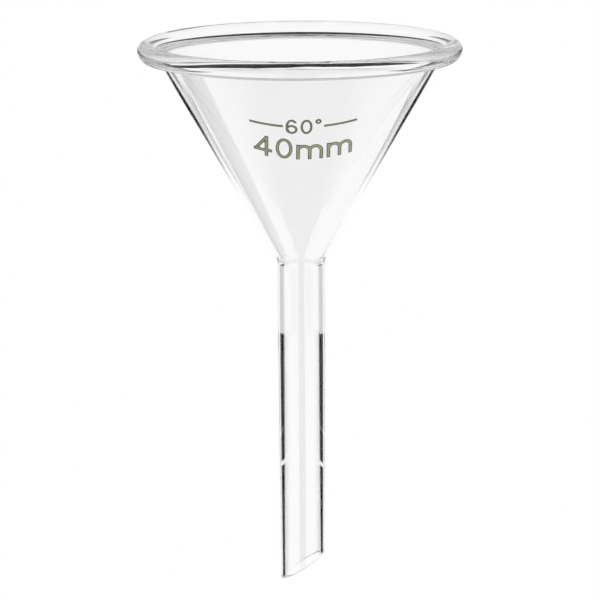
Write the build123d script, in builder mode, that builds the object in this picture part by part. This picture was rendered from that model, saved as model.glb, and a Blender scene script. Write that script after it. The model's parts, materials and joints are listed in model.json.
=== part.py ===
# Conical laboratory funnel of clear glass, one blown piece, standing on its mouth with the stem up.
# Millimetres. The origin is the centre of the mouth, on the surface that the rim stands on, and +Z
# runs along the axis to the tip of the stem. The long side of the slanted tip is on +X.
import os
from math import cos, radians, sin, tan

from build123d import *

# Rim: the edge of the cone is rolled into a round bead
RIM_DIAMETER = 40.0  # over the outside of the bead
BEAD_DIAMETER = 2.3

# Cone
CONE_ANGLE = 60.0  # between opposite sides
CONE_WALL = 0.45

# Throat
THROAT_INNER_FILLET = 1.6  # from the cone's inside into the bore
THROAT_OUTER_FILLET = 1.1  # from the cone's outside onto the stem

# Stem
BORE_DIAMETER = 4.6
STEM_WALL = 0.67
STEM_LENGTH = 41.0  # from the throat to the long side of the tip
TAPER_LENGTH = 29.0  # the last stretch, where the tube was drawn a little thinner
TIP_WALL = 0.44
CUT_ANGLE = 32.0  # slant of the tip, from square to the axis
LIP_OUTER_SHARE = 0.45  # the melted edge's outer round, as a share of the tip's wall
LIP_INNER_SHARE = 0.35  # its inner round

# Sizes that follow from the ones above
bead_radius = BEAD_DIAMETER / 2
bore_radius = BORE_DIAMETER / 2
stem_radius = bore_radius + STEM_WALL
tip_radius = bore_radius + TIP_WALL
half_angle = radians(CONE_ANGLE / 2)

# Square out of the cone's wall in the half section, as (radius, height)
out_of_the_cone = Vector(cos(half_angle), sin(half_angle))

# The cone's inside is tangent to the bead, and its outside runs into the bead's back
bead_centre = Vector(RIM_DIAMETER / 2 - bead_radius, bead_radius)
inner_rim = bead_centre - out_of_the_cone * bead_radius
outer_rim = inner_rim + out_of_the_cone * CONE_WALL


def height_on_cone(foot, radius):
    """Height at which the cone's line through foot has come in to this radius."""
    return foot.Y + (foot.X - radius) / tan(half_angle)


inner_throat = Vector(bore_radius, height_on_cone(inner_rim, bore_radius))
outer_throat = Vector(stem_radius, height_on_cone(outer_rim, stem_radius))
tip_height = outer_throat.Y + STEM_LENGTH
taper_start = Vector(stem_radius, tip_height - TAPER_LENGTH)
tip_outer = Vector(tip_radius, tip_height)
tip_inner = Vector(bore_radius, tip_height)

with BuildPart() as funnel:
    # Half section through the wall, from the mouth to the tip
    with BuildSketch(Plane.XZ) as section:
        with BuildLine():
            Polyline(
                tip_inner,
                inner_throat,
                inner_rim,
                outer_rim,
                outer_throat,
                taper_start,
                tip_outer,
                close=True,
            )
        make_face()
        with Locations(bead_centre):
            Circle(bead_radius)
        fillet(section.vertices().sort_by_distance(inner_throat)[0], THROAT_INNER_FILLET)
        fillet(section.vertices().sort_by_distance(outer_throat)[0], THROAT_OUTER_FILLET)
    revolve(axis=Axis.Z)

    # The tip is cut on a slant that rises to the long side
    slant = Plane(
        origin=(tip_radius, 0, tip_height),
        x_dir=(0, 1, 0),
        z_dir=(-sin(radians(CUT_ANGLE)), 0, cos(radians(CUT_ANGLE))),
    )
    split(bisect_by=slant, keep=Keep.BOTTOM)

    # Its sharp edges are melted round
    tip_face = funnel.faces().filter_by(GeomType.PLANE).sort_by(Axis.Z)[-1]
    fillet(tip_face.outer_wire().edges(), TIP_WALL * LIP_OUTER_SHARE)
    tip_face = funnel.faces().filter_by(GeomType.PLANE).sort_by(Axis.Z)[-1]
    fillet(tip_face.inner_wires().edges(), TIP_WALL * LIP_INNER_SHARE)

funnel.part.label = "funnel"

os.makedirs("parts", exist_ok=True)
export_step(funnel.part, "parts/funnel.step")
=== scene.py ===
"""A clear glass conical funnel that stands on its mouth, seen as a studio catalogue shows it.

Everything is in metres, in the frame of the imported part: the origin is the centre of the mouth on
the floor, +Z runs up the axis to the tip of the stem, and the print faces -Y. The main camera looks
from the mouth's side with the stem hanging down, as the funnel is used, so it stands below the
level of the floor, which is clear from underneath, and its up is -Z.
"""

import json
from math import atan2, cos, pi, radians, sin, sqrt, tan

import bpy
import numpy as np
from mathutils import Matrix, Quaternion, Vector


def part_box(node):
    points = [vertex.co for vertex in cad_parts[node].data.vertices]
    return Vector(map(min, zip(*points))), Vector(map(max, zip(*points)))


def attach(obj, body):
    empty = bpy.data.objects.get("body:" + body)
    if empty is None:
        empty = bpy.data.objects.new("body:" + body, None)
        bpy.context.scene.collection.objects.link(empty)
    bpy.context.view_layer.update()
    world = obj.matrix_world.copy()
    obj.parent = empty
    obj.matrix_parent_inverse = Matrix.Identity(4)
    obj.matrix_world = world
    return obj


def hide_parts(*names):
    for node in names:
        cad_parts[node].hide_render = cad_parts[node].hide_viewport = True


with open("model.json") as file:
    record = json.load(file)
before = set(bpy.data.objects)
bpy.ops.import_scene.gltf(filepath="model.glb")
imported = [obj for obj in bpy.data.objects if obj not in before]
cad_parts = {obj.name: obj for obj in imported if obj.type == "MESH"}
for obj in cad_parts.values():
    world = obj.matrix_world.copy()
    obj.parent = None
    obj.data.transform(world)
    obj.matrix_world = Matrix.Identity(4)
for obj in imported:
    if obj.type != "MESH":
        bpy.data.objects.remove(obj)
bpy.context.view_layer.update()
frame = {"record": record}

MM = 0.001
TINY = 1e-6

# Sizes of the glass. The rim, the height and the stem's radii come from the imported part
mounts = {m["name"]: m for m in frame["record"]["mounts"]}
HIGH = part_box("funnel")[1]
RIM_RADIUS = HIGH.x
TOTAL_HEIGHT = HIGH.z
BORE_RADIUS = mounts["stem_bore"]["dims"]["r_mm"] * MM
STEM_RADIUS = mounts["stem"]["dims"]["r_mm"] * MM
BEAD_RADIUS = 1.15 * MM
BEAD_FILLET = 0.5 * MM
HALF_ANGLE = radians(30)
CONE_WALL = 0.45 * MM
THROAT_INNER_FILLET = 1.6 * MM
THROAT_OUTER_FILLET = 1.1 * MM
TAPER_LENGTH = 29.0 * MM
TIP_WALL = 0.44 * MM
CUT_ANGLE = radians(32)

# Mesh density
TURN_STEPS = 240
ARC_STEP = radians(5)
RUN_STEP = 0.9 * MM
TIP_EASE = 3  # the higher, the nearer to the tip the rows of the mesh turn into its slant
CARD_STEPS = 33
RIM_CARD_STEPS = 145
FLOOR_CORNERS = 95

# Glass, with a slight unevenness of the blown surface
GLASS_COLOR = (0.98, 0.98, 0.985, 1)
GLASS_IOR = 1.473
GLASS_SHADOW = (0.87, 0.87, 0.87, 1)  # share of a lamp's light that passes on the way to the floor
WAVE_SCALE = 150
WAVE_DETAIL = 1
WAVE_DEPTH = 0.003 * MM

# Print on the cone, fired enamel
PRINT_LIFT = 0.004 * MM
PRINT_THICKNESS = 0.02 * MM
PRINT_CELL = 0.06 * MM
PRINT_PROBE = 0.01 * PRINT_CELL  # step for the slope of the distance field
PRINT_SNAPS = 3  # rounds that bring the outermost points onto the outline
# width inside each mark's outline over which its painted shade fades in
PRINT_SHADE_WIDTH = 0.16 * MM
PRINT_TURN = radians(1.6)
ENAMEL_FILL = "#93927A"
# the fill is the print's own colour; the darker outline colour is painted shade for the mark's
# shadow and its image in the glass
ENAMEL_PAINTED_SHADE = "#3C3E2C"
ENAMEL_RAMP = (0.3, 1.1 / 1.2)
ENAMEL_ROUGHNESS = 0.45
GRAIN_SCALE = 2500
GRAIN_DETAIL = 3
GRAIN_SHARE = 0.5

# Rows of marks: height, gap as a share of it, and how high above the floor its foot runs
SIZE_ROW = (3.15 * MM, 0.135, 12.95 * MM)
ANGLE_ROW = (2.2 * MM, 0.15, 9.55 * MM)

# Sizes in a mark, as shares of its row's height
STROKE = 0.144
THIN_STROKE = STROKE * 0.9
FOUR_WIDTH = 0.74
FOUR_POST = 0.52
FOUR_BAR = 0.29
FOUR_SLANT = ((0.06, 0.25), (FOUR_POST, 0.96))
OVAL_WIDTH = 0.665
SIX_BOWL = 0.31
SIX_CUT = 0.76
M_HEIGHT = 0.72
M_BOW = 0.2245
DEGREE_WIDTH = 0.34
DEGREE_HEIGHT = 0.84
DEGREE_RADIUS = 0.115
DEGREE_STROKE = 0.11
RULE_LENGTH = 1.9
RULE_STROKE = 0.14

# Camera, fitted to the photograph's 600 pixel frame
FRAME_PX = 600
SENSOR = 36.0
FOCAL_PX = 4180
CAMERA_DISTANCE = 520 * MM
CAMERA_RISE = radians(11.2)
AIM = Vector((0.17, 0, 32.5)) * MM
CAMERA_ROLL = radians(-0.35)
CAMERA_CLIP = (0.01, 10)
SIGHT_AZIMUTH = 90  # +Y, the way that the main camera looks

# Stage
WORLD_WHITE = 1.0
WORLD_SOFT = 0.62
FLOOR_SHADE = 0.9
FLOOR_RADIUS = 3.0
FLOOR_DROP = 0.01 * MM
FLOOR_FADE = (0.12, 0.5)
LAMPS = [("key_lamp", (-0.35, -0.45, 0.75), 0.5, 5.2)]  # name, place, size across, power
LIGHT_BOUNCES = 96

# Cards, which make the dark lines in the glass. Their rows are height, shade and half the width in
# degrees, where no other order is given
CARD_RADIUS = 0.35
LOW_CARDS = [45, 135, 225, 315]
LOW_CARD_ROWS = [(0.0, 0.0, 19.5), (0.078, 0.0, 19.5), (0.09, 0.6, 19.5), (0.1085, 0.6, 19.5)]
HIGH_CARD_ROWS = [  # height, shade, degrees that the inner edge stands off the line of sight
    (0.1085, 0.0, 25.5),
    (0.1315, 0.0, 26.5),
    (0.1318, 1.0, 26.5),
    (0.1325, 1.0, 26.5),
    (0.1327, 0.0, 26.5),
    (0.168, 0.0, 33.0),
]
HIGH_CARD_OUTER = 86
STREAK_CARD = (270, [(0.0, 0.0, 18), (0.45, 0.0, 18)])
AWNING = [  # degrees to each side of straight behind the camera, rises of its edges, shade
    (108, 36, 46, 1.0),
    (90, 43, 55, 0.8),
    (70, 46, 62, 0.3),
    (50, 48, 67, 0.0),
    (30, 50, 70, 0.0),
    (0, 52, 73, 0.0),
]
ARCH_RADIUS = 0.4
ARCH = [  # degrees right of the line of sight, rise, half the width
    (-52, 22, 9), (-54, 31, 9), (-57, 48, 9), (-68, 63, 11), (-78, 74, 14), (-80, 82, 15),
    (0, 85, 15), (60, 80, 15), (64, 72, 14), (54, 60, 10), (42, 50, 8), (31, 41, 7.5),
    (30, 35, 7.5),
]
RIM_CARD_RADIUS = 22.5 * MM
RIM_CARD_ROWS = [(BEAD_RADIUS, 0.0, 180), (2.0 * MM, 0.0, 180)]
NEAR_CARDS = [66, 114]
NEAR_CARD_RADIUS = 0.08
NEAR_CARD_ROWS = [(0.019, 1.0, 8), (0.024, 0.0, 8), (0.037, 0.0, 8), (0.043, 1.0, 8)]


def linear(value):
    """A colour written as #RRGGBB, in the linear values that a shader takes by the sRGB curve."""
    parts = [int(value[i:i + 2], 16) / 255 for i in (1, 3, 5)]
    return [c / 12.92 if c <= 0.04045 else ((c + 0.055) / 1.055) ** 2.4 for c in parts] + [1.0]


# The half section


def run(start, end, step=RUN_STEP):
    """Points from start up to but not including end."""
    count = max(2, round((end - start).length / step))
    return [start.lerp(end, i / count) for i in range(count)]


def arc(centre, radius, start, end):
    """Points on an arc from one angle to another, both included."""
    count = max(2, round(abs(end - start) / ARC_STEP))
    angles = [start + (end - start) * i / count for i in range(count + 1)]
    return [centre + radius * Vector((cos(a), sin(a))) for a in angles]


def angle_of(vector):
    return atan2(vector.y, vector.x)


def corner(before, at, after, radius):
    """A rounded corner: the arc that is tangent to both runs that meet at this point."""
    back, on = (before - at).normalized(), (after - at).normalized()
    half_turn = back.angle(on) / 2
    centre = at + (back + on).normalized() * (radius / sin(half_turn))
    reach = radius / tan(half_turn)
    start = angle_of(at + back * reach - centre)
    end = angle_of(at + on * reach - centre)
    while end - start > pi:
        end -= 2 * pi
    while end - start < -pi:
        end += 2 * pi
    return arc(centre, radius, start, end)


up_cone = Vector((-sin(HALF_ANGLE), cos(HALF_ANGLE)))
out_cone = Vector((cos(HALF_ANGLE), sin(HALF_ANGLE)))
bead_centre = Vector((RIM_RADIUS - BEAD_RADIUS, BEAD_RADIUS))
inner_rim = bead_centre - out_cone * BEAD_RADIUS
outer_rim = inner_rim + out_cone * CONE_WALL


def on_cone(foot, radius):
    """The point where the cone's line through foot has come in to this radius."""
    return Vector((radius, foot.y + (foot.x - radius) / tan(HALF_ANGLE)))


inner_throat = on_cone(inner_rim, BORE_RADIUS)
outer_throat = on_cone(outer_rim, STEM_RADIUS)
TIP_RADIUS = BORE_RADIUS + TIP_WALL
TAPER_START = Vector((STEM_RADIUS, TOTAL_HEIGHT - TAPER_LENGTH))


def bead_and_fillet():
    """The bead from its tangent point inside, round underneath, to the fillet onto the outside."""
    wall_offset = BEAD_RADIUS - CONE_WALL
    reach = sqrt((BEAD_RADIUS + BEAD_FILLET) ** 2 - (BEAD_FILLET - wall_offset) ** 2)
    fillet_centre = bead_centre + up_cone * reach + out_cone * (BEAD_FILLET - wall_offset)
    start = angle_of(-out_cone) - 2 * pi * (angle_of(-out_cone) > 0)
    meet = angle_of(fillet_centre - bead_centre)
    bead = arc(bead_centre, BEAD_RADIUS, start, meet)
    first = angle_of(bead_centre - fillet_centre)
    last = angle_of(-out_cone)
    while last > first:
        last -= 2 * pi
    return bead[:-1] + arc(fillet_centre, BEAD_FILLET, first, last)


def half_section():
    """Points of the closed outline, as radius and height.

    It runs from the tip down the bore, round the bead and up the outside to the tip again.
    """
    lip_drop = TIP_WALL / 2 * (1 / cos(CUT_ANGLE) - tan(CUT_ANGLE))
    lip_centre = Vector(((BORE_RADIUS + TIP_RADIUS) / 2, TOTAL_HEIGHT - lip_drop))
    bore_top = Vector((BORE_RADIUS, lip_centre.y))
    stem_top = Vector((TIP_RADIUS, lip_centre.y))
    inside = corner(bore_top, inner_throat, inner_rim, THROAT_INNER_FILLET)
    outside = corner(outer_rim, outer_throat, stem_top, THROAT_OUTER_FILLET)
    bead = bead_and_fillet()
    lip = arc(lip_centre, TIP_WALL / 2, 0, pi)
    points = run(bore_top, inside[0]) + inside[:-1] + run(inside[-1], bead[0]) + bead[:-1]
    points += run(bead[-1], outside[0]) + outside[:-1]
    points += run(outside[-1], TAPER_START) + run(TAPER_START, stem_top) + lip[:-1]
    return points


def glass_mesh():
    """The half section turned round the axis, and drawn down to the slanted cut along the stem."""
    points = np.array([tuple(p) for p in half_section()])
    count = len(points)
    turns = np.linspace(0, 2 * pi, TURN_STEPS, endpoint=False)
    radius = points[:, 0][None, :]
    height = points[:, 1][None, :]
    x = radius * np.cos(turns)[:, None]
    y = radius * np.sin(turns)[:, None]
    stem_foot = outer_throat.y + THROAT_OUTER_FILLET
    share = np.clip((height - stem_foot) / (TOTAL_HEIGHT - TIP_WALL / 2 - stem_foot), 0, 1)
    z = height - share**TIP_EASE * (TIP_RADIUS - x) * tan(CUT_ANGLE)
    co = np.stack([x, y, z], -1).reshape(-1, 3)
    a = np.arange(TURN_STEPS)[:, None] * count + np.arange(count)[None, :]
    b = np.roll(a, -1, axis=0)
    quads = np.stack([a, b, np.roll(b, -1, axis=1), np.roll(a, -1, axis=1)], -1).reshape(-1, 4)
    mesh = bpy.data.meshes.new("glass_funnel")
    mesh.from_pydata(co.tolist(), [], quads.tolist())
    mesh.polygons.foreach_set("use_smooth", [True] * len(mesh.polygons))
    mesh.update()
    return mesh


def add(name, mesh):
    thing = bpy.data.objects.new(name, mesh)
    bpy.context.scene.collection.objects.link(thing)
    return thing


# Print: each mark is an area given by its signed distance in the cone's unrolled surface, where u
# runs to the reader's right and v up towards the mouth, both as shares of the row's height


def bar(start, end, width):
    """A straight stroke with square ends."""
    start, end = np.array(start), np.array(end)
    along = (end - start) / np.linalg.norm(end - start)

    def distance(u, v):
        du, dv = u - (start[0] + end[0]) / 2, v - (start[1] + end[1]) / 2
        a = np.abs(du * along[0] + dv * along[1]) - np.linalg.norm(end - start) / 2
        b = np.abs(dv * along[0] - du * along[1]) - width / 2
        return np.hypot(np.maximum(a, 0), np.maximum(b, 0)) + np.minimum(np.maximum(a, b), 0)

    return distance


def bow(centre, radius, first, last, width):
    """A curved stroke along an arc, from one angle in degrees on to the other."""
    middle, half = radians((first + last) / 2), radians((last - first) / 2)

    def distance(u, v):
        du, dv = u - centre[0], v - centre[1]
        turn = (np.arctan2(dv, du) - middle + pi) % (2 * pi) - pi
        turn = np.clip(turn, -half, half) + middle
        near_u, near_v = centre[0] + radius * np.cos(turn), centre[1] + radius * np.sin(turn)
        return np.hypot(u - near_u, v - near_v) - width / 2

    return distance


def oval(centre, half_width, half_height, width):
    """A stroke along an upright ellipse."""

    def distance(u, v):
        du, dv = u - centre[0], v - centre[1]
        reach = np.hypot(du / half_width, dv / half_height)
        slope = np.hypot(du / half_width**2, dv / half_height**2)
        return np.abs(reach * (reach - 1) / np.maximum(slope, TINY)) - width / 2

    return distance


def kept(mark, outside):
    """The part of a mark where the other field is below zero."""
    return lambda u, v: np.maximum(mark(u, v), outside(u, v))


# Each function of a mark returns its width and its strokes


def four():
    return FOUR_WIDTH, [
        bar((FOUR_POST, 0), (FOUR_POST, 1), STROKE),
        bar((0, FOUR_BAR), (FOUR_WIDTH, FOUR_BAR), STROKE),
        bar(*FOUR_SLANT, THIN_STROKE),
    ]


def digit_oval(middle):
    """An oval that stands on the row's foot, with its middle at this height."""
    half = OVAL_WIDTH / 2
    return oval((half, middle), half - STROKE / 2, middle - STROKE / 2, THIN_STROKE)


def zero():
    return OVAL_WIDTH, [digit_oval(0.5)]


def six():
    back = kept(digit_oval(0.5), lambda u, v: np.minimum(SIX_CUT - v, u - OVAL_WIDTH / 2))
    return OVAL_WIDTH, [digit_oval(SIX_BOWL), back]


def degree():
    centre = (DEGREE_WIDTH / 2, DEGREE_HEIGHT)
    return DEGREE_WIDTH, [bow(centre, DEGREE_RADIUS, 0, 360, DEGREE_STROKE)]


def small_m():
    stems = [STROKE / 2 + i * 2 * M_BOW for i in range(3)]
    spring = M_HEIGHT - STROKE / 2 - M_BOW
    strokes = [bar((x, 0), (x, spring), STROKE) for x in stems]
    strokes += [bow((x + M_BOW, spring), M_BOW, 0, 180, STROKE) for x in stems[:2]]
    strokes.append(bar((stems[0], 0), (stems[0], M_HEIGHT), STROKE))
    return stems[-1] + STROKE / 2, strokes


def rule():
    """A plain thin line at half height."""
    return RULE_LENGTH, [bar((0, 0.5), (RULE_LENGTH, 0.5), RULE_STROKE)]


def row_of_glyphs(glyphs, height, gap):
    """Strokes of a whole row in metres, centred on u = 0 with its foot at v = 0."""
    width = sum(g[0] for g in glyphs) + gap * (len(glyphs) - 1)
    at, strokes = -width / 2, []
    for advance, marks in glyphs:
        for mark in marks:
            strokes.append(
                lambda u, v, mark=mark, at=at: mark(u / height - at, v / height) * height
            )
        at += advance + gap
    return width * height, strokes


def print_mesh(name, glyphs, height, gap, foot):
    """A row of marks as a thin closed layer that follows the outside of the cone.

    foot is the height above the floor at which the row's foot runs round the cone.
    """
    width, strokes = row_of_glyphs(glyphs, height, gap)
    across = np.arange(-width / 2 - PRINT_CELL, width / 2 + 2 * PRINT_CELL, PRINT_CELL)
    up = np.arange(-PRINT_CELL, height + 2 * PRINT_CELL, PRINT_CELL)
    u, v = np.meshgrid(across, up)

    def field(u, v):
        return np.min([s(u, v) for s in strokes], axis=0)

    inside = field(u, v) < 0
    cells = inside[:-1, :-1] | inside[1:, :-1] | inside[:-1, 1:] | inside[1:, 1:]
    step = PRINT_PROBE
    for _ in range(PRINT_SNAPS):
        d = field(u, v)
        gu = (field(u + step, v) - field(u - step, v)) / (2 * step)
        gv = (field(u, v + step) - field(u, v - step)) / (2 * step)
        slope = np.maximum(np.hypot(gu, gv), TINY)
        move = np.where(inside, 0, d)
        u, v = u - move * gu / slope, v - move * gv / slope
    # edge is 1 at a mark's outline and falls to 0 inwards, which is where the enamel paints its
    # shade
    edge = np.clip(1 + field(u, v) / PRINT_SHADE_WIDTH, 0, 1)
    apex = outer_rim.y + outer_rim.x / tan(HALF_ANGLE)
    from_apex = (apex - foot) / cos(HALF_ANGLE) + v
    slant = np.hypot(u, from_apex)
    turn = PRINT_TURN + np.arctan2(u, from_apex) / sin(HALF_ANGLE)
    radius = slant * sin(HALF_ANGLE)
    z = apex - slant * cos(HALF_ANGLE)
    layers = []
    for lift in (PRINT_LIFT, PRINT_LIFT + PRINT_THICKNESS):
        r = radius + lift * out_cone.x
        layers.append(np.stack([-r * np.sin(turn), -r * np.cos(turn), z + lift * out_cone.y], -1))
    row, col = np.nonzero(cells)
    cols = u.shape[1]
    corners = np.stack([row * cols + col, row * cols + col + 1, (row + 1) * cols + col + 1,
                        (row + 1) * cols + col], -1)
    used, quads = np.unique(corners, return_inverse=True)
    quads = quads.reshape(-1, 4)
    co = layers[1].reshape(-1, 3)[used]
    base = layers[0].reshape(-1, 3)[used]
    sides = set()
    for quad in quads.tolist():
        for a, b in zip(quad, quad[1:] + quad[:1]):
            if (b, a) in sides:
                sides.remove((b, a))
            else:
                sides.add((a, b))
    n = len(used)
    faces = quads[:, ::-1].tolist() + (quads + n).tolist()
    faces += [(a, b, b + n, a + n) for a, b in sorted(sides)]
    mesh = bpy.data.meshes.new(name)
    mesh.from_pydata(np.concatenate([co, base]).tolist(), [], faces)
    attribute = mesh.attributes.new("edge", "FLOAT", "POINT")
    attribute.data.foreach_set("value", np.tile(edge.reshape(-1)[used], 2))
    mesh.update()
    return mesh


# Materials


def enamel_material():
    """Olive enamel, a little uneven, and darker at each mark's outline, which is painted shade for
    the mark's shadow and its image in the glass.
    """
    material = bpy.data.materials.new("olive_enamel")
    material.use_nodes = True
    nodes, links = material.node_tree.nodes, material.node_tree.links
    shader = nodes["Principled BSDF"]
    shader.inputs["Roughness"].default_value = ENAMEL_ROUGHNESS
    # edge, with the grain, turns the fill to the painted shade at the outline
    edge = nodes.new("ShaderNodeAttribute")
    edge.attribute_name = "edge"
    noise = nodes.new("ShaderNodeTexNoise")
    noise.inputs["Scale"].default_value = GRAIN_SCALE
    noise.inputs["Detail"].default_value = GRAIN_DETAIL
    place = nodes.new("ShaderNodeTexCoord")
    links.new(place.outputs["Object"], noise.inputs["Vector"])
    add_noise = nodes.new("ShaderNodeMath")
    add_noise.operation = "MULTIPLY_ADD"
    add_noise.inputs[1].default_value = GRAIN_SHARE
    links.new(noise.outputs["Fac"], add_noise.inputs[0])
    links.new(edge.outputs["Fac"], add_noise.inputs[2])
    ramp = nodes.new("ShaderNodeValToRGB")
    for element, position, color in zip(
        ramp.color_ramp.elements, ENAMEL_RAMP, (ENAMEL_FILL, ENAMEL_PAINTED_SHADE)
    ):
        element.position = position
        element.color = linear(color)
    links.new(add_noise.outputs[0], ramp.inputs["Fac"])
    links.new(ramp.outputs["Color"], shader.inputs["Base Color"])
    return material


def glass_material():
    """Clear glass. For shadow rays it is plainly transparent, so its shadow stays light."""
    material = bpy.data.materials.new("clear_glass")
    material.use_nodes = True
    nodes, links = material.node_tree.nodes, material.node_tree.links
    shader = nodes["Principled BSDF"]
    shader.inputs["Base Color"].default_value = GLASS_COLOR
    shader.inputs["Roughness"].default_value = 0.0
    shader.inputs["IOR"].default_value = GLASS_IOR
    shader.inputs["Transmission Weight"].default_value = 1.0
    place = nodes.new("ShaderNodeTexCoord")
    noise = nodes.new("ShaderNodeTexNoise")
    noise.inputs["Scale"].default_value = WAVE_SCALE
    noise.inputs["Detail"].default_value = WAVE_DETAIL
    links.new(place.outputs["Object"], noise.inputs["Vector"])
    waves = nodes.new("ShaderNodeBump")
    waves.inputs["Strength"].default_value = 1.0
    waves.inputs["Distance"].default_value = WAVE_DEPTH
    links.new(noise.outputs["Fac"], waves.inputs["Height"])
    links.new(waves.outputs[0], shader.inputs["Normal"])
    clear = nodes.new("ShaderNodeBsdfTransparent")
    clear.inputs["Color"].default_value = GLASS_SHADOW
    mix = nodes.new("ShaderNodeMixShader")
    path = nodes.new("ShaderNodeLightPath")
    links.new(path.outputs["Is Shadow Ray"], mix.inputs["Fac"])
    links.new(shader.outputs[0], mix.inputs[1])
    links.new(clear.outputs[0], mix.inputs[2])
    links.new(mix.outputs[0], nodes["Material Output"].inputs["Surface"])
    return material


# The piece

glass = add("glass_funnel", glass_mesh())
glass.data.materials.append(glass_material())
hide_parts("funnel")
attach(glass, "root")

enamel = enamel_material()
rows = {
    "print_size": ([four(), zero(), small_m(), small_m()], *SIZE_ROW),
    "print_angle": ([rule(), six(), zero(), degree(), rule()], *ANGLE_ROW),
}
for name, (glyphs, height, gap, foot) in rows.items():
    marks = add(name, print_mesh(name, glyphs, height, gap, foot))
    marks.data.materials.append(enamel)
    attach(marks, "root")


# Stage


def make_camera():
    data = bpy.data.cameras.new("camera")
    data.sensor_width = SENSOR
    data.lens = FOCAL_PX * SENSOR / FRAME_PX
    data.clip_start, data.clip_end = CAMERA_CLIP
    camera = bpy.data.objects.new("camera", data)
    bpy.context.scene.collection.objects.link(camera)
    back = Vector((0, -cos(CAMERA_RISE), -sin(CAMERA_RISE)))
    camera.location = AIM + back * CAMERA_DISTANCE
    up = (Vector((0, 0, -1)) + back * back.z).normalized()
    right = up.cross(back)
    camera.rotation_mode = "QUATERNION"
    turn = Matrix((right, up, back)).transposed().to_quaternion()
    camera.rotation_quaternion = turn @ Quaternion((0, 0, 1), CAMERA_ROLL)
    bpy.context.scene.camera = camera


def make_world():
    """White for the camera, and in and through the glass. The matt surfaces get a softer share."""
    world = bpy.data.worlds.new("studio")
    bpy.context.scene.world = world
    world.use_nodes = True
    nodes, links = world.node_tree.nodes, world.node_tree.links
    path = nodes.new("ShaderNodeLightPath")
    strength = nodes.new("ShaderNodeMapRange")
    strength.inputs["To Min"].default_value = WORLD_WHITE
    strength.inputs["To Max"].default_value = WORLD_SOFT
    links.new(path.outputs["Is Diffuse Ray"], strength.inputs["Value"])
    links.new(strength.outputs[0], nodes["Background"].inputs["Strength"])
    nodes["Background"].inputs["Color"].default_value = (1, 1, 1, 1)


def floor_material():
    """Pale and matt from above, out to white, and clear from underneath."""
    material = bpy.data.materials.new("pale_floor")
    material.use_nodes = True
    nodes, links = material.node_tree.nodes, material.node_tree.links
    shader = nodes["Principled BSDF"]
    shader.inputs["Base Color"].default_value = (FLOOR_SHADE, FLOOR_SHADE, FLOOR_SHADE, 1)
    shader.inputs["Roughness"].default_value = 1.0
    shader.inputs["Specular IOR Level"].default_value = 0.0
    place = nodes.new("ShaderNodeTexCoord")
    length = nodes.new("ShaderNodeVectorMath")
    length.operation = "LENGTH"
    links.new(place.outputs["Object"], length.inputs[0])
    fade = nodes.new("ShaderNodeMapRange")
    fade.interpolation_type = "SMOOTHSTEP"
    fade.inputs["From Min"].default_value = FLOOR_FADE[0]
    fade.inputs["From Max"].default_value = FLOOR_FADE[1]
    links.new(length.outputs["Value"], fade.inputs["Value"])
    white = nodes.new("ShaderNodeEmission")
    far = nodes.new("ShaderNodeMixShader")
    links.new(fade.outputs[0], far.inputs["Fac"])
    links.new(shader.outputs[0], far.inputs[1])
    links.new(white.outputs[0], far.inputs[2])
    clear = nodes.new("ShaderNodeBsdfTransparent")
    side = nodes.new("ShaderNodeNewGeometry")
    sides = nodes.new("ShaderNodeMixShader")
    links.new(side.outputs["Backfacing"], sides.inputs["Fac"])
    links.new(far.outputs[0], sides.inputs[1])
    links.new(clear.outputs[0], sides.inputs[2])
    links.new(sides.outputs[0], nodes["Material Output"].inputs["Surface"])
    return material


def make_floor():
    mesh = bpy.data.meshes.new("floor")
    angles = np.linspace(0, 2 * pi, FLOOR_CORNERS, endpoint=False)
    rim = [(FLOOR_RADIUS * cos(a), FLOOR_RADIUS * sin(a), 0) for a in angles]
    mesh.from_pydata(rim, [], [list(range(len(rim)))])
    mesh.materials.append(floor_material())
    floor = add("floor", mesh)
    floor.location.z = -FLOOR_DROP


def card_material():
    """Lit evenly at the card's own shade, which the mesh carries."""
    material = bpy.data.materials.new("card")
    material.use_nodes = True
    nodes, links = material.node_tree.nodes, material.node_tree.links
    emission = nodes.new("ShaderNodeEmission")
    shade = nodes.new("ShaderNodeAttribute")
    shade.attribute_name = "shade"
    links.new(shade.outputs["Fac"], emission.inputs["Color"])
    links.new(emission.outputs[0], nodes["Material Output"].inputs["Surface"])
    return material


def hide_from_matt(card):
    """The card only shows in the glass: it neither lights nor shades what is matt."""
    card.visible_camera = card.visible_diffuse = card.visible_shadow = False


def card_mesh(name, rows, shades, material):
    """A card through rows of points, each row with a shade of its own."""
    n = len(rows[0])
    mesh = bpy.data.meshes.new(name)
    faces = [(k + i, k + i + 1, k + n + i + 1, k + n + i)
             for k in range(0, (len(rows) - 1) * n, n) for i in range(n - 1)]
    mesh.from_pydata([p for row in rows for p in row], [], faces)
    attribute = mesh.attributes.new("shade", "FLOAT", "POINT")
    attribute.data.foreach_set("value", [shade for shade in shades for _ in range(n)])
    mesh.materials.append(material)
    hide_from_matt(add(name, mesh))


def make_card(name, middle, card_rows, material, radius=CARD_RADIUS, steps=CARD_STEPS):
    """A curved card that stands round the object."""
    rows = []
    for height, _, half_width in card_rows:
        angles = np.radians(np.linspace(middle - half_width, middle + half_width, steps))
        rows.append([(radius * cos(a), radius * sin(a), height) for a in angles])
    card_mesh(name, rows, [shade for _, shade, _ in card_rows], material)


def on_sky(azimuth, rise):
    """The direction at an azimuth from the main view's line of sight, and at this rise."""
    turn, rise = radians(SIGHT_AZIMUTH + azimuth), radians(rise)
    return Vector((cos(turn) * cos(rise), sin(turn) * cos(rise), sin(rise)))


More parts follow.
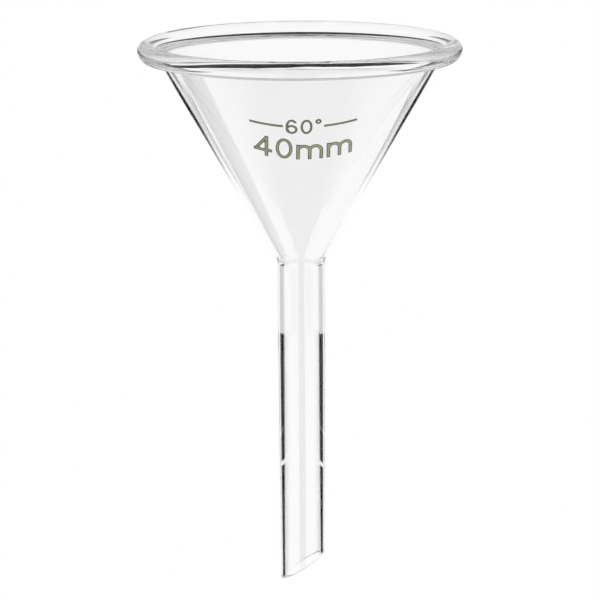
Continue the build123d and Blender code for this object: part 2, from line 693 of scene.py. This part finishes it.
def make_arch(material):
    """A black strip that arches over the object, from one side of the view to the other."""
    middle = [on_sky(azimuth, rise) for azimuth, rise, _ in ARCH]
    rows = []
    for i, place in enumerate(middle):
        along = middle[min(i + 1, len(middle) - 1)] - middle[max(i - 1, 0)]
        across = place.cross(along).normalized() * tan(radians(ARCH[i][2]))
        rows.append([(place - across) * ARCH_RADIUS, (place + across) * ARCH_RADIUS])
    card_mesh("arch", rows, [0.0] * len(rows), material)


def make_high_card(name, side, material):
    """The card that makes one of the stem's two dark bands, on one side of the line of sight."""
    rows = []
    for height, _, inner in HIGH_CARD_ROWS:
        offsets = np.linspace(inner, HIGH_CARD_OUTER, CARD_STEPS)
        angles = [radians(SIGHT_AZIMUTH + side * offset) for offset in offsets]
        rows.append([(CARD_RADIUS * cos(a), CARD_RADIUS * sin(a), height) for a in angles])
    card_mesh(name, rows, [shade for _, shade, _ in HIGH_CARD_ROWS], material)


def make_awning(material):
    """A black card high up behind the camera, whose image greys the cone a little."""
    sides = [(-off, low, high, shade) for off, low, high, shade in AWNING]
    sides += [(off, low, high, shade) for off, low, high, shade in AWNING[-2::-1]]
    rows = [[on_sky(180 + off, low) * ARCH_RADIUS, on_sky(180 + off, high) * ARCH_RADIUS]
            for off, low, high, _ in sides]
    card_mesh("awning", rows, [row[3] for row in sides], material)


def make_cards():
    material = card_material()
    for i, azimuth in enumerate(LOW_CARDS):
        make_card(f"low_card_{i}", azimuth, LOW_CARD_ROWS, material)
    for i, side in enumerate((-1, 1)):
        make_high_card(f"high_card_{i}", side, material)
    make_card("streak_card", *STREAK_CARD, material)
    for i, azimuth in enumerate(NEAR_CARDS):
        make_card(f"near_card_{i}", azimuth, NEAR_CARD_ROWS, material, NEAR_CARD_RADIUS)
    make_card("rim_card", SIGHT_AZIMUTH, RIM_CARD_ROWS, material, RIM_CARD_RADIUS, RIM_CARD_STEPS)
    make_arch(material)
    make_awning(material)


def make_lamps():
    for name, place, size, power in LAMPS:
        data = bpy.data.lights.new(name, "AREA")
        data.shape = "DISK"
        data.size = size
        data.energy = power
        lamp = bpy.data.objects.new(name, data)
        bpy.context.scene.collection.objects.link(lamp)
        lamp.location = place
        lamp.rotation_euler = (-Vector(place)).to_track_quat("-Z", "Y").to_euler()
        lamp.visible_glossy = lamp.visible_transmission = False


make_camera()
make_world()
make_floor()
make_cards()
make_lamps()
bpy.context.scene.cycles.max_bounces = LIGHT_BOUNCES
bpy.context.scene.cycles.transmission_bounces = LIGHT_BOUNCES
bpy.context.scene.cycles.glossy_bounces = LIGHT_BOUNCES
bpy.context.scene.view_settings.view_transform = "Standard"
